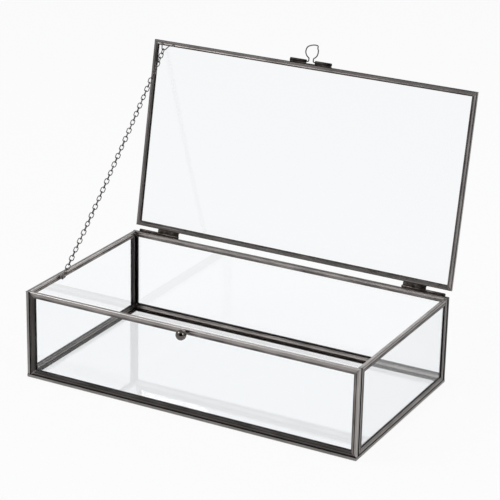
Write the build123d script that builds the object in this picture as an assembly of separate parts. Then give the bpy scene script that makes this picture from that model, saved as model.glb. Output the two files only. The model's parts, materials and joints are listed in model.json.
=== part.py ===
from build123d import *
from math import asin, atan2, cos, degrees, hypot, radians, sin, sqrt
import os

os.makedirs("parts", exist_ok=True)

# Driving dimensions, in millimetres and degrees.
# The origin is the middle of the bottom face. The front faces -Y and the lid is open.

# Box
box_width = 300.0
box_depth = 168.0
base_height = 76.0

# Came, the U-shaped metal channel that frames every pane
came_thickness = 3.2
came_wall = 0.6
came_shoulder = 0.65
base_flange = 4.7
lid_flange = 4.1
corner_seam = 0.8
seam_recess = 0.7

# Panes
pane_side_play = 0.05
pane_edge_play = 0.3

# Lid
lid_open_angle = 100.8
lid_front_setback = 2.0
lid_seat_gap = 0.25

# Hinges
hinge_end_inset = 5.0
base_knuckle_length = 17.0
lid_knuckle_length = 20.7
knuckle_gap = 0.3
knuckle_diameter = 2.6
knuckle_stand_off = 0.2
hinge_height = 0.15
hinge_leaf_thickness = 0.6
hinge_pin_diameter = 1.2
hinge_pin_play = 0.05
hinge_pin_head = 0.5
base_leaf_drop = 4.0
lid_leaf_rise = 2.2
lid_rear_setback = 2.5

# Latch on the free edge of the lid
latch_leaf_length = 38.0
latch_leaf_thickness = 0.5
latch_barrel_diameter = 2.8
latch_barrel_gap = 8.5
latch_barrel_reach = 2.2
loop_wire = 1.0
loop_radius = 5.7
loop_neck_gap = 3.2
loop_neck_radius = 1.0
loop_pin_radius = 0.9
loop_pin_length = 9.0
loop_play = 0.05

# Knob that the loop drops over
ball_diameter = 8.7
ball_stand_off = 7.4
knob_below_top = 2.35
stem_diameter = 2.4
collar_diameter = 3.1
collar_length = 0.7
knob_pad_width = 7.0
knob_pad_height = 4.0
knob_pad_thickness = 0.25

# Stay chain of oval links, each turned a quarter turn from the next
link_length = 5.8
link_width = 4.3
link_wire = 0.8
link_play = 0.1
chain_pairs = 27
pairs_per_run = 3
chain_sag_turn = 4.2

# Eye of the chain on the left top rail
eye_inboard = 2.5
eye_below_top = 2.8
eye_wire = 0.9
eye_shank_diameter = 0.8
eye_play = 0.15
eye_pad_diameter = 2.4
eye_pad_thickness = 0.25

# Bail of the chain under the front rail of the lid
bail_wire = 0.9
bail_end_inset = 10.6
bail_foot_inset = 2.9
bail_drop = 5.0
bail_tilt = 13.0
bail_left_foot = 2.6
bail_bottom_half = 1.4
bail_shoulder = 5.0
bail_shoulder_drop = 0.8
bail_tail = 8.4
bail_bend = 0.8
bail_solder_diameter = 2.6

# Places that follow from the driving dimensions
front_face = -box_depth / 2
back_face = box_depth / 2
left_face = -box_width / 2
hinge_y = back_face + knuckle_stand_off + knuckle_diameter / 2
hinge_z = base_height + hinge_height
hinge_axis = Axis((0, hinge_y, hinge_z), (1, 0, 0))
lid_rear = back_face - lid_rear_setback
lid_front = front_face + lid_front_setback
lid_length = lid_rear - lid_front
lid_under = base_height + lid_seat_gap
lid_middle = lid_under + came_thickness / 2
pane_thickness = came_thickness - 2 * came_wall - 2 * pane_side_play


def save(name, shape):
    export_step(shape, "parts/" + name + ".step")


def opened(shape):
    """A piece of the lid is drawn on the closed box and then swung open."""
    return shape.rotate(hinge_axis, -lid_open_angle)


# Came frames

def came_strip(length, flange):
    """One length of channel along X, web at y = 0, with both ends mitred."""
    outline = Pos(flange / 2, 0) * Rectangle(flange, came_thickness)
    outline = fillet(outline.vertices().group_by(Axis.X)[0], came_shoulder)
    slot_depth = flange - came_wall
    slot = Pos(flange - slot_depth / 2, 0) * Rectangle(slot_depth, came_thickness - 2 * came_wall)
    bar = extrude(Plane.YZ * (outline - slot), length / 2, both=True)
    half = length / 2
    mitre = Polygon((-half, 0), (half, 0), (half - flange, flange), (-half + flange, flange), align=None)
    return bar & extrude(mitre, came_thickness, both=True)


def frame_strips(width, height, flange):
    """The four strips of a frame, in its own plane, by the side each lies on."""
    across = came_strip(width, flange)
    upright = came_strip(height, flange)
    return {
        "low": Pos(0, -height / 2) * across,
        "high": Pos(0, height / 2) * Rot(0, 0, 180) * across,
        "first": Pos(-width / 2, 0) * Rot(0, 0, -90) * upright,
        "last": Pos(width / 2, 0) * Rot(0, 0, 90) * upright,
    }


def pane(width, height):
    """The sheet of glass that stands in the slots of a frame."""
    margin = 2 * (came_wall + pane_edge_play)
    return Box(width - margin, height - margin, pane_thickness)


def save_panel(panel, plane, width, height, flange, sides, place=lambda shape: shape):
    """Saves a pane and its four strips, placed in the box."""
    strips = frame_strips(width, height, flange)
    for side, name in sides.items():
        save(panel + "_came_" + name, place(plane.location * strips[side]))
    save(panel + "_glass", place(plane.location * pane(width, height)))


# The bottom frame has the full footprint, and the walls stand on it.
# The back wall is as wide as the box. Each other wall butts against the next one, a seam apart.

wall_low = came_thickness
wall_height = base_height - wall_low
wall_middle = wall_low + wall_height / 2
half_came = came_thickness / 2
corner_step = came_thickness + corner_seam

wall_sides = {"low": "bottom", "high": "top", "first": "left", "last": "right"}
end_sides = {"low": "bottom", "high": "top", "first": "front", "last": "rear"}
flat_sides = {"low": "front", "high": "rear", "first": "left", "last": "right"}

front_width = box_width - corner_step
left_width = box_depth - corner_step
right_width = box_depth - 2 * corner_step

front_plane = Plane((corner_step / 2, front_face + half_came, wall_middle), x_dir=(1, 0, 0), z_dir=(0, -1, 0))
back_plane = Plane((0, back_face - half_came, wall_middle), x_dir=(1, 0, 0), z_dir=(0, -1, 0))
left_plane = Plane((left_face + half_came, -corner_step / 2, wall_middle), x_dir=(0, 1, 0), z_dir=(1, 0, 0))
right_plane = Plane((-left_face - half_came, 0, wall_middle), x_dir=(0, 1, 0), z_dir=(1, 0, 0))
bottom_plane = Plane((0, 0, half_came))
lid_plane = Plane((0, (lid_front + lid_rear) / 2, lid_middle))

save_panel("bottom", bottom_plane, box_width, box_depth, base_flange, flat_sides)
save_panel("front", front_plane, front_width, wall_height, base_flange, wall_sides)
save_panel("back", back_plane, box_width, wall_height, base_flange, wall_sides)
save_panel("left", left_plane, left_width, wall_height, base_flange, end_sides)
save_panel("right", right_plane, right_width, wall_height, base_flange, end_sides)
save_panel("lid", lid_plane, box_width, lid_length, lid_flange, flat_sides, opened)


# Solder in the four upright seams, set back from the faces

def seam(x, y, across_x):
    depth = came_thickness - 2 * seam_recess
    size = (depth, corner_seam) if across_x else (corner_seam, depth)
    return Pos(x, y, wall_middle) * Box(size[0], size[1], wall_height)


seam_inset = came_thickness + corner_seam / 2
corner_seams = [
    seam(left_face + seam_inset, front_face + half_came, False),
    seam(left_face + half_came, back_face - seam_inset, True),
    seam(-left_face - half_came, front_face + seam_inset, True),
    seam(-left_face - half_came, back_face - seam_inset, True),
]
save("corner_solder", Compound(corner_seams))


# Hinges: two knuckles on one pin, the outer one on the base and the inner one on the lid

knuckle_radius = knuckle_diameter / 2
hinge_outer = -left_face - hinge_end_inset
hinge_split = hinge_outer - base_knuckle_length


def rod(start_x, end_x, diameter, y, z):
    """A round bar along X."""
    length = abs(end_x - start_x)
    middle = (start_x + end_x) / 2
    return Pos(middle, y, z) * Rot(0, 90, 0) * Cylinder(diameter / 2, length)


def slab(start, end):
    """A block between two corners."""
    size = Vector(*end) - Vector(*start)
    middle = (Vector(*start) + Vector(*end)) * 0.5
    return Pos(middle) * Box(abs(size.X), abs(size.Y), abs(size.Z))


def hinge_base_leaf():
    """The knuckle rolled from a leaf that is soldered down the back of the box."""
    knuckle = rod(hinge_split, hinge_outer, knuckle_diameter, hinge_y, hinge_z)
    leaf = slab(
        (hinge_split, back_face, base_height - base_leaf_drop),
        (hinge_outer, back_face + hinge_leaf_thickness, hinge_z),
    )
    bore = rod(hinge_split - 1, hinge_outer + 1, hinge_pin_diameter, hinge_y, hinge_z)
    return knuckle + leaf - bore


def hinge_lid_leaf():
    """The knuckle rolled from a leaf that turns up against the rear web of the lid."""
    start = hinge_split - knuckle_gap - lid_knuckle_length
    end = hinge_split - knuckle_gap
    top = hinge_z + knuckle_radius
    knuckle = rod(start, end, knuckle_diameter, hinge_y, hinge_z)
    leaf = slab((start, lid_rear, top - hinge_leaf_thickness), (end, hinge_y, top))
    turn_up = slab(
        (start, lid_rear, top - hinge_leaf_thickness),
        (end, lid_rear + hinge_leaf_thickness, top - hinge_leaf_thickness + lid_leaf_rise),
    )
    bore = rod(start - 1, end + 1, hinge_pin_diameter + 2 * hinge_pin_play, hinge_y, hinge_z)
    return knuckle + leaf + turn_up - bore


def hinge_pin():
    start = hinge_split - knuckle_gap - lid_knuckle_length
    shank = rod(start - hinge_pin_play, hinge_outer, hinge_pin_diameter, hinge_y, hinge_z)
    head_diameter = hinge_pin_diameter + 2 * hinge_pin_head
    inner_end = start - hinge_pin_play
    inner_head = rod(inner_end - hinge_pin_head, inner_end, head_diameter, hinge_y, hinge_z)
    outer_head = rod(hinge_outer, hinge_outer + hinge_pin_head, head_diameter, hinge_y, hinge_z)
    return shank + inner_head + outer_head


for side, hand in (("right", lambda shape: shape), ("left", lambda shape: mirror(shape, Plane.YZ))):
    save("hinge_" + side + "_base_leaf", hand(hinge_base_leaf()))
    save("hinge_" + side + "_lid_leaf", opened(hand(hinge_lid_leaf())))
    save("hinge_" + side + "_pin", hand(hinge_pin()))


# Latch: a leaf on the free edge of the lid, rolled into two barrels that hold the wire loop

latch_y = lid_front - latch_barrel_reach
latch_z = lid_middle
barrel_radius = latch_barrel_diameter / 2
barrel_inner = latch_barrel_gap / 2
leaf_end = latch_leaf_length / 2
leaf_low = latch_z - barrel_radius


def latch_leaf():
    plate = slab(
        (-leaf_end, lid_front - latch_leaf_thickness, leaf_low),
        (leaf_end, lid_front, latch_z + barrel_radius),
    )
    bore = rod(-leaf_end - 1, leaf_end + 1, loop_wire + 2 * loop_play, latch_y, latch_z)
    body = plate
    for sign in (-1, 1):
        barrel = rod(sign * barrel_inner, sign * leaf_end, latch_barrel_diameter, latch_y, latch_z)
        tongue = slab(
            (sign * barrel_inner, latch_y, leaf_low),
            (sign * leaf_end, lid_front, leaf_low + latch_leaf_thickness),
        )
        body = body + barrel + tongue
    return body - bore


# The middle of the ball is where the middle of the loop passes

ball_y = front_face - ball_stand_off
ball_z = base_height - knob_below_top
loop_reach = hypot(ball_y - latch_y, ball_z - latch_z)


def loop_path():
    """The centre line of half the wire loop: pin end, bend, neck, shoulder, then the round."""
    neck = (loop_neck_gap + loop_wire) / 2
    bend = loop_pin_radius
    shoulder = loop_neck_radius
    shoulder_x = neck + shoulder
    shoulder_y = loop_reach - sqrt((loop_radius + shoulder) ** 2 - shoulder_x**2)
    lean = degrees(atan2(loop_reach - shoulder_y, shoulder_x))
    pin_end = (neck + bend + loop_pin_length, 0)
    pin = Line(pin_end, (neck + bend, 0))
    corner = CenterArc((neck + bend, bend), bend, 270, -90)
    leg = Line((neck, bend), (neck, shoulder_y))
    turn = CenterArc((shoulder_x, shoulder_y), shoulder, 180, -lean)
    start = -lean
    round_half = CenterArc((0, loop_reach), loop_radius, start, 90 + lean)
    return [pin, corner, leg, turn, round_half]


def latch_loop():
    """The loop is drawn flat, level with the barrels, pointing away from the lid."""
    half = Wire(loop_path())
    start = half @ 0
    section = Plane(origin=start, z_dir=half % 0) * Circle(loop_wire / 2)
    half_loop = sweep(section, path=half)
    whole = half_loop + mirror(half_loop, Plane.YZ)
    flat = Plane((0, latch_y, latch_z), x_dir=(1, 0, 0), z_dir=(0, 0, -1))
    return flat.location * whole


save("latch_leaf", opened(latch_leaf()))
save("latch_loop", opened(latch_loop()))


# Knob: a turned ball on a stem, soldered to the front top rail

def knob():
    seat = front_face - knob_pad_thickness
    facing = Rot(90, 0, 0)
    ball = Pos(0, ball_y, ball_z) * Sphere(ball_diameter / 2)
    stem = Pos(0, (seat + ball_y) / 2, ball_z) * facing * Cylinder(stem_diameter / 2, seat - ball_y)
    collar = Pos(0, seat - collar_length / 2, ball_z) * facing * Cylinder(collar_diameter / 2, collar_length)
    return ball + stem + collar


def knob_pad():
    outline = Plane((0, front_face, ball_z), x_dir=(1, 0, 0), z_dir=(0, -1, 0))
    return extrude(outline * Ellipse(knob_pad_width / 2, knob_pad_height / 2), knob_pad_thickness)


save("knob", knob())
save("knob_solder_pad", knob_pad())


# Chain links: each is an oval ring of six-sided wire, bent in flats

link_round = (link_width - link_wire) / 2
link_straight = (link_length - link_width) / 2
link_reach = link_length - link_wire
crossing = link_wire + link_play
pair_length = 2 * link_reach - 2 * crossing
flats_per_end = 4


def chain_link():
    """One link standing along Z with its width along X."""
    ring = []
    for end in (0, 1):
        for step in range(flats_per_end + 1):
            angle = radians(180 * end + 180 * step / flats_per_end)
            shift = link_straight * (1 - 2 * end)
            ring.append((link_round * cos(angle), 0, shift + link_round * sin(angle)))
    middle = (link_round, 0, 0)
    path = Polyline(middle, *ring, middle)
    section = Plane(origin=middle, z_dir=(0, 0, 1)) * RegularPolygon(link_wire / 2, 6)
    return sweep(section, path=path, transition=Transition.RIGHT)


# Bail: a bent wire under the front rail of the lid, tilted down so that a link can turn in it

bail_x = left_face + bail_end_inset
bail_foot_y = lid_front + bail_foot_inset
bail_foot_z = lid_under - bail_wire / 2
tilt = radians(bail_tilt)
bail_y = bail_foot_y + bail_drop * cos(tilt)
bail_z = bail_foot_z - bail_drop * sin(tilt)


def bail():
    flat = Plane((bail_x, bail_foot_y, bail_foot_z), x_dir=(1, 0, 0), z_dir=(0, sin(tilt), cos(tilt)))
    path = FilletPolyline(
        (-bail_left_foot, 0),
        (-bail_bottom_half, bail_drop),
        (bail_bottom_half, bail_drop),
        (bail_shoulder, bail_shoulder_drop),
        (bail_tail, 0),
        radius=bail_bend,
    )
    section = Plane(origin=path @ 0, z_dir=path % 0) * Circle(bail_wire / 2)
    return flat.location * sweep(section, path=path)


def bail_solder(wire):
    """The two drops of solder that hold the feet of the bail to the rail."""
    under_lid = slab(
        (bail_x - box_width, lid_front, lid_under - came_thickness),
        (bail_x + box_width, lid_rear, lid_under),
    )
    drops = []
    for foot in (-bail_left_foot, bail_tail):
        drop = Pos(bail_x + foot, bail_foot_y, lid_under) * Sphere(bail_solder_diameter / 2)
        drops.append(drop & under_lid)
    return Compound([piece - wire for piece in drops])


closed_bail = bail()
save("chain_bail", opened(closed_bail))
save("chain_bail_solder", opened(bail_solder(closed_bail)))


# The chain runs from the bail of the open lid down to the eye. Each run is a straight group
# of links, a little steeper than the run below, so that the chain sags slightly. The eye's
# place along the rail follows from the length of the chain.

opening = radians(lid_open_angle)
from_hinge_y = bail_y - hinge_y
from_hinge_z = bail_z - hinge_z
open_bail_y = hinge_y + from_hinge_y * cos(opening) + from_hinge_z * sin(opening)
open_bail_z = hinge_z - from_hinge_y * sin(opening) + from_hinge_z * cos(opening)

eye_x = left_face + came_thickness + eye_inboard
eye_z = base_height - eye_below_top

run_pairs = []
while sum(run_pairs) < chain_pairs:
    run_pairs.append(min(pairs_per_run, chain_pairs - sum(run_pairs)))
run_lengths = [pairs * pair_length for pairs in run_pairs]
run_lengths[-1] -= (bail_wire - link_wire) / 2
chain_length = sum(run_lengths)

run_leans = []
covered = 0.0
for length in run_lengths:
    run_leans.append(radians(chain_sag_turn) * ((covered + length / 2) / chain_length - 0.5))
    covered += length
along = sum(length * cos(lean) for length, lean in zip(run_lengths, run_leans))
aside = sum(length * sin(lean) for length, lean in zip(run_lengths, run_leans))
chord_slope = asin((open_bail_z - eye_z) / hypot(along, aside)) - atan2(aside, along)
run_slopes = [chord_slope + lean for lean in run_leans]
eye_y = open_bail_y - sum(length * cos(slope) for length, slope in zip(run_lengths, run_slopes))


def chain_run(start_y, start_z, slope, pairs, start_length):
    """The links of one run, from its lower pivot up. Each pair is a wide link and a thin one."""
    link = chain_link()
    turned = Rot(0, 0, 90) * link
    links = []
    for pair in range(pairs):
        wide_at = pair * pair_length + link_reach / 2
        thin_at = pair * pair_length + 1.5 * link_reach - crossing
        for shape, distance in ((link, wide_at), (turned, thin_at)):
            share = (start_length + distance) / chain_length
            centre = (
                eye_x + (bail_x - eye_x) * share,
                start_y + distance * cos(slope),
                start_z + distance * sin(slope),
            )
            place = Plane(centre, x_dir=(1, 0, 0), z_dir=(0, cos(slope), sin(slope)))
            links.append(place.location * shape)
    return Compound(links)


pivot_y = eye_y
pivot_z = eye_z
covered = 0.0
for number, slope in enumerate(run_slopes):
    run = chain_run(pivot_y, pivot_z, slope, run_pairs[number], covered)
    save("chain_links_%02d" % (number + 1), run)
    print("chain pivot %d: y %.4f z %.4f slope %.4f" % (number + 1, pivot_y, pivot_z, degrees(slope)))
    pivot_y += run_lengths[number] * cos(slope)
    pivot_z += run_lengths[number] * sin(slope)
    covered += run_lengths[number]


# Eye: a ring on a short shank, soldered to the inner face of the left top rail

def chain_eye():
    ring_radius = link_wire / 2 + eye_play + eye_wire / 2
    ring = Pos(eye_x, eye_y, eye_z) * Rot(0, 90, 0) * Torus(ring_radius, eye_wire / 2)
    rail_face = left_face + came_thickness
    shank_y = eye_y - ring_radius
    shank = rod(rail_face, eye_x, eye_shank_diameter, shank_y, eye_z)
    pad = rod(rail_face, rail_face + eye_pad_thickness, eye_pad_diameter, shank_y, eye_z)
    return ring + shank + pad


save("chain_eye", chain_eye())

print("hinge axis: y %.4f z %.4f" % (hinge_y, hinge_z))
print("latch axis on the closed lid: y %.4f z %.4f" % (latch_y, latch_z))
print("open bail: y %.4f z %.4f, chain length %.3f" % (open_bail_y, open_bail_z, chain_length))
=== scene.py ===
import json
import random
from math import atan2, cos, hypot, pi, radians, sin, sqrt

import bmesh
import bpy
from mathutils import Matrix, Vector, noise


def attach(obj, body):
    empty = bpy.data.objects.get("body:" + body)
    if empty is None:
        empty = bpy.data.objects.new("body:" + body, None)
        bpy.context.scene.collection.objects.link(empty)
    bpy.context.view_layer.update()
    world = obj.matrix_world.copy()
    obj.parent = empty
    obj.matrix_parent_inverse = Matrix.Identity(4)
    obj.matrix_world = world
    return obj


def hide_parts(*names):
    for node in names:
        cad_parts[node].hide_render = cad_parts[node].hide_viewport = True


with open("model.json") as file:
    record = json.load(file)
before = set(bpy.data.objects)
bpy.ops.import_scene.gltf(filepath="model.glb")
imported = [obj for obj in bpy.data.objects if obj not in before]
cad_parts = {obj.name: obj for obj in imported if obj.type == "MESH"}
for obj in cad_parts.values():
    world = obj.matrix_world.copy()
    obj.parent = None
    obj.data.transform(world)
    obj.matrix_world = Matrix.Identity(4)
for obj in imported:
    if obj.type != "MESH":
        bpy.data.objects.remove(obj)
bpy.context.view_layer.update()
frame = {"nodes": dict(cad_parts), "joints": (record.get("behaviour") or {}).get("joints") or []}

random.seed(11)
noise.seed_set(11)
mm = 0.001


# Camera: a long lens to the right of the box and a little above it, as the photograph was taken.
# It stands 1.67 m off and leans by a degree, like the photographer's.

camera_azimuth = radians(28.159)
camera_elevation = radians(20.928)
camera_roll = radians(1.209)
camera_place = Vector((0.72608, -1.33752, 0.69642))

camera_data = bpy.data.cameras.new("camera")
camera_data.lens = 145.92
camera_data.sensor_width = 36.0
camera_data.clip_start = 0.05
camera = bpy.data.objects.new("camera", camera_data)
bpy.context.scene.collection.objects.link(camera)
bpy.context.scene.camera = camera

camera_back = Vector((
    sin(camera_azimuth) * cos(camera_elevation),
    -cos(camera_azimuth) * cos(camera_elevation),
    sin(camera_elevation),
))
level_right = Vector((0, 0, 1)).cross(camera_back).normalized()
level_up = camera_back.cross(level_right)
camera_right = level_right * cos(camera_roll) + level_up * sin(camera_roll)
camera_up = level_up * cos(camera_roll) - level_right * sin(camera_roll)
camera_turn = Matrix((camera_right, camera_up, camera_back)).transposed()
camera.matrix_world = Matrix.Translation(camera_place) @ camera_turn.to_4x4()
bpy.context.scene.view_settings.view_transform = "Standard"


# Studio: a white sweep and three soft boxes in a light tent, with the dark opening that the camera
# looks through. The sweep shows as paper white to the camera and through glass. Metal sees it as it
# is lit, so the lower rails are darker than the upper ones.

def hex_colour(code):
    """A colour written as sRGB hex, as the linear colour that Blender wants."""
    channels = [int(code[i:i + 2], 16) / 255 for i in (1, 3, 5)]
    linear = [c / 12.92 if c <= 0.04045 else ((c + 0.055) / 1.055) ** 2.4 for c in channels]
    return (*linear, 1.0)


def add_node(tree, kind, links=None, **settings):
    """Adds a node. Sockets named in links take an output or a value, the rest are its settings."""
    node = tree.nodes.new(kind)
    for name, value in settings.items():
        setattr(node, name, value)
    for socket, value in (links or {}).items():
        if isinstance(value, bpy.types.NodeSocket):
            tree.links.new(value, node.inputs[socket])
        else:
            node.inputs[socket].default_value = value
    return node


def maths(tree, operation, one, two=0.0):
    """The result of an operation on one or two values."""
    return add_node(tree, "ShaderNodeMath", {0: one, 1: two}, operation=operation).outputs[0]


def band(tree, value, start, end, at_start, at_end, **settings):
    """A level that changes from one value to another as its source goes from start to end."""
    return add_node(tree, "ShaderNodeMapRange", {
        "Value": value, "From Min": start, "From Max": end, "To Min": at_start, "To Max": at_end},
        **settings).outputs["Result"]


def colour_ramp(tree, value, *stops):
    """The colour that belongs to a value, from stops of (value, sRGB hex) in rising order."""
    ramp = add_node(tree, "ShaderNodeValToRGB", {"Fac": value})
    elements = ramp.color_ramp.elements
    for element, (place, code) in zip(elements, (stops[0], stops[-1])):
        element.position = place
        element.color = hex_colour(code)
    for place, code in stops[1:-1]:
        elements.new(place).color = hex_colour(code)
    return ramp.outputs["Color"]


def new_material(name):
    """A named material with only its shader and its output."""
    material = bpy.data.materials.new(name)
    material.use_nodes = True
    tree = material.node_tree
    return material, tree, tree.nodes["Principled BSDF"]


room = bpy.data.worlds.new("light_tent")
room.use_nodes = True
bpy.context.scene.world = room
air = room.node_tree
air.nodes.clear()
room_way = add_node(air, "ShaderNodeTexCoord")
towards_camera = add_node(air, "ShaderNodeVectorMath", {
    0: room_way.outputs["Generated"], 1: tuple(camera_back)}, operation="DOT_PRODUCT")
# From the cloth behind the box, at 0, to the opening that the camera looks through, at 1.
tent = colour_ramp(
    air, band(air, towards_camera.outputs["Value"], -1.0, 1.0, 0.0, 1.0),
    (0.0, "#b9babd"), (0.3, "#d8d9db"), (0.46, "#8c8d90"), (0.6, "#b6b7ba"), (0.74, "#d6d7d9"),
    (0.86, "#c4c5c8"), (0.91, "#3a3a3c"), (0.965, "#101011"))
path = add_node(air, "ShaderNodeLightPath").outputs
lit_room = add_node(air, "ShaderNodeBackground", {"Color": tent, "Strength": 0.9})
white_room = add_node(air, "ShaderNodeBackground", {"Color": (1, 1, 1, 1), "Strength": 1.0})
looked_through = maths(air, "MAXIMUM", path["Is Camera Ray"], path["Is Transmission Ray"])
seen_room = add_node(air, "ShaderNodeMixShader", {
    0: looked_through, 1: lit_room.outputs[0], 2: white_room.outputs[0]})
add_node(air, "ShaderNodeOutputWorld", {"Surface": seen_room.outputs[0]})

for lamp_name, lamp_place, lamp_aim, lamp_size, lamp_power in (
    ("soft_box_left", (-0.9, -0.55, 1.25), (0, 0, 0.08), 0.6, 7.0),
    ("soft_box_right", (1.15, -0.35, 0.95), (0, 0, 0.06), 0.5, 4.2),
    ("soft_box_back", (0.1, 1.15, 1.1), (0, 0, 0.1), 0.6, 1.6),
):
    lamp_data = bpy.data.lights.new(lamp_name, "AREA")
    lamp_data.shape = "SQUARE"
    lamp_data.size = lamp_size
    lamp_data.energy = lamp_power
    lamp = bpy.data.objects.new(lamp_name, lamp_data)
    bpy.context.scene.collection.objects.link(lamp)
    lamp_way = Vector(lamp_aim) - Vector(lamp_place)
    lamp_turn = lamp_way.to_track_quat("-Z", "Y").to_matrix().to_4x4()
    lamp.matrix_world = Matrix.Translation(lamp_place) @ lamp_turn

bpy.ops.mesh.primitive_plane_add(size=8, location=(0, 0, -0.0003))
sweep = bpy.context.object
sweep.name = "white_sweep"
# How much of the paper's white is its own, to the eye and in the metal. The rest is the lamps'.
seen_white = 0.92
mirrored_white = 0.2
paper, paper_tree, paper_shader = new_material("matt_white_paper")
paper_shader.inputs["Base Color"].default_value = hex_colour("#f2f2f2")
paper_shader.inputs["Roughness"].default_value = 0.9
paper_shader.inputs["Specular IOR Level"].default_value = 0.1
paper_path = add_node(paper_tree, "ShaderNodeLightPath").outputs
seen = maths(paper_tree, "MAXIMUM", paper_path["Is Camera Ray"], paper_path["Is Transmission Ray"])
seen_share = maths(paper_tree, "MULTIPLY", seen, seen_white)
mirrored_share = maths(paper_tree, "MULTIPLY", paper_path["Is Glossy Ray"], mirrored_white)
share_white = maths(paper_tree, "MAXIMUM", seen_share, mirrored_share)
paper_glow = add_node(paper_tree, "ShaderNodeEmission", {"Color": (1, 1, 1, 1), "Strength": 1.0})
paper_mix = add_node(paper_tree, "ShaderNodeMixShader", {
    0: share_white, 1: paper_shader.outputs[0], 2: paper_glow.outputs[0]})
paper_tree.links.new(paper_mix.outputs[0], paper_tree.nodes["Material Output"].inputs["Surface"])
sweep.data.materials.append(paper)
bpy.ops.object.select_all(action="DESELECT")


# Came: U-shaped zinc channel, 3.2 mm thick, that holds the edge of every pane. The rolls leave it
# with rounded shoulders, thin lips and a shallow crease along each flange. It is mitred, soldered
# and then blackened with patina, to a pewter grey with brownish streaks along its length.

came_thickness = 3.2 * mm
came_wall = 0.6 * mm
came_shoulder = 0.65 * mm
base_flange = 4.7 * mm
lid_flange = 4.1 * mm
lip_round = 0.14 * mm
crease = 2.45 * mm
crease_half_width = 0.35 * mm
crease_depth = 0.12
stock_half = 20 * mm

box_width = 300 * mm
box_depth = 168 * mm
base_height = 76 * mm
wall_height = base_height - came_thickness
wall_middle = came_thickness + wall_height / 2
half_came = came_thickness / 2
seam_width = 0.8 * mm
corner_step = came_thickness + seam_width
front_face = -box_depth / 2
back_face = box_depth / 2
left_face = -box_width / 2

hinge_y = back_face + 1.5 * mm
hinge_z = base_height + 0.15 * mm
lid_front = front_face + 2.0 * mm
lid_rear = back_face - 2.5 * mm
lid_length = lid_rear - lid_front
lid_under = base_height + 0.25 * mm
lid_middle = lid_under + half_came
lid_open_angle = radians(100.8)

hinge_spot = Matrix.Translation((0, hinge_y, hinge_z))
swing_open = hinge_spot @ Matrix.Rotation(-lid_open_angle, 4, "X") @ hinge_spot.inverted()


def pick(piece, kind, wanted):
    """In edit mode, selects the faces, edges or verts that pass the test, and nothing else."""
    bpy.ops.mesh.select_mode(type={"verts": "VERT", "edges": "EDGE", "faces": "FACE"}[kind])
    bpy.ops.mesh.select_all(action="DESELECT")
    grid = bmesh.from_edit_mesh(piece.data)
    for part in getattr(grid, kind):
        if wanted(part):
            part.select_set(True)
    grid.select_flush_mode()
    bmesh.update_edit_mesh(piece.data)


def start_piece(name):
    """The primitive that was just added, as a named piece with its place in its mesh."""
    piece = bpy.context.object
    piece.name = name
    piece.data.name = name
    bpy.ops.object.transform_apply(location=True, rotation=True, scale=True)
    return piece


def finish_piece(piece, material, slot, body, *nodes, smooth=35):
    """Shades a piece, gives it its finish, and lets it ride for the solids that it stands for."""
    bpy.ops.object.select_all(action="DESELECT")
    piece.select_set(True)
    bpy.context.view_layer.objects.active = piece
    bpy.ops.object.shade_smooth_by_angle(angle=radians(smooth))
    piece.data.materials.clear()
    piece.data.materials.append(material)
    if nodes:
        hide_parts(*nodes)
    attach(piece, body)
    bpy.ops.object.select_all(action="DESELECT")


def copy_piece(master, name, place):
    """A copy with its own mesh, set in place in that mesh."""
    twin = bpy.data.objects.new(name, master.data.copy())
    twin.data.name = name
    twin.data.transform(place)
    if place.determinant() < 0:
        twin.data.flip_normals()
    bpy.context.scene.collection.objects.link(twin)
    return twin


def discard(piece):
    bpy.data.meshes.remove(piece.data)


def join_pieces(first, others):
    """Joins pieces into the first, as separate parts of one mesh."""
    bpy.ops.object.select_all(action="DESELECT")
    for piece in others:
        piece.select_set(True)
    first.select_set(True)
    bpy.context.view_layer.objects.active = first
    if others:
        bpy.ops.object.join()
    bpy.ops.object.select_all(action="DESELECT")
    return first


def roll_formed_came(name, flange):
    """A short length of channel along X with its web at y = 0, both ends mitred."""
    rough_length = 2 * (stock_half + 3 * mm)
    touching = 1e-6

    def lies_along(edge):
        return abs(edge.verts[0].co.x - edge.verts[1].co.x) > stock_half

    bpy.ops.mesh.primitive_cube_add(
        size=1, location=(0, flange / 2, 0), scale=(rough_length, flange, came_thickness))
    strip = start_piece(name)
    bpy.ops.object.mode_set(mode="EDIT")
    pick(strip, "edges", lambda e: lies_along(e) and max(v.co.y for v in e.verts) < touching)
    bpy.ops.mesh.bevel(offset=came_shoulder, segments=5, affect="EDGES")
    pick(strip, "faces", lambda f: f.normal.y > 0.9)
    bpy.ops.mesh.inset(thickness=came_wall, use_boundary=True)
    bpy.ops.mesh.extrude_region_move(TRANSFORM_OT_translate={"value": (0, came_wall - flange, 0)})
    pick(strip, "edges", lambda e: (
        lies_along(e) and min(v.co.y for v in e.verts) > flange - touching))
    bpy.ops.mesh.bevel(offset=lip_round, segments=2, affect="EDGES")
    for cut in (-crease_half_width, 0, crease_half_width):
        bpy.ops.mesh.select_all(action="SELECT")
        bpy.ops.mesh.bisect(plane_co=(0, crease + cut, 0), plane_no=(0, 1, 0))
    pick(strip, "verts", lambda v: (
        abs(v.co.y - crease) < touching and abs(v.co.z) > half_came - touching))
    bpy.ops.transform.resize(value=(1, 1, 1 - crease_depth))
    for end in (-1, 1):
        bpy.ops.mesh.select_all(action="SELECT")
        bpy.ops.mesh.bisect(
            plane_co=(end * stock_half, 0, 0), plane_no=(end, 1, 0),
            clear_outer=True, use_fill=True)
    bpy.ops.object.mode_set(mode="OBJECT")
    return strip


# Where the flange and the edge of the lip begin in the first UV map, and how far that map is
# shifted from strip to strip so that no two have the same streaks, all in metres.
flange_from = 0.02
lip_from = 0.03
strip_shift = 0.73
# A fold of this tone keeps it where it lies in a groove. All others get black painted shade there.
kept_tone = 0.8


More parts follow.
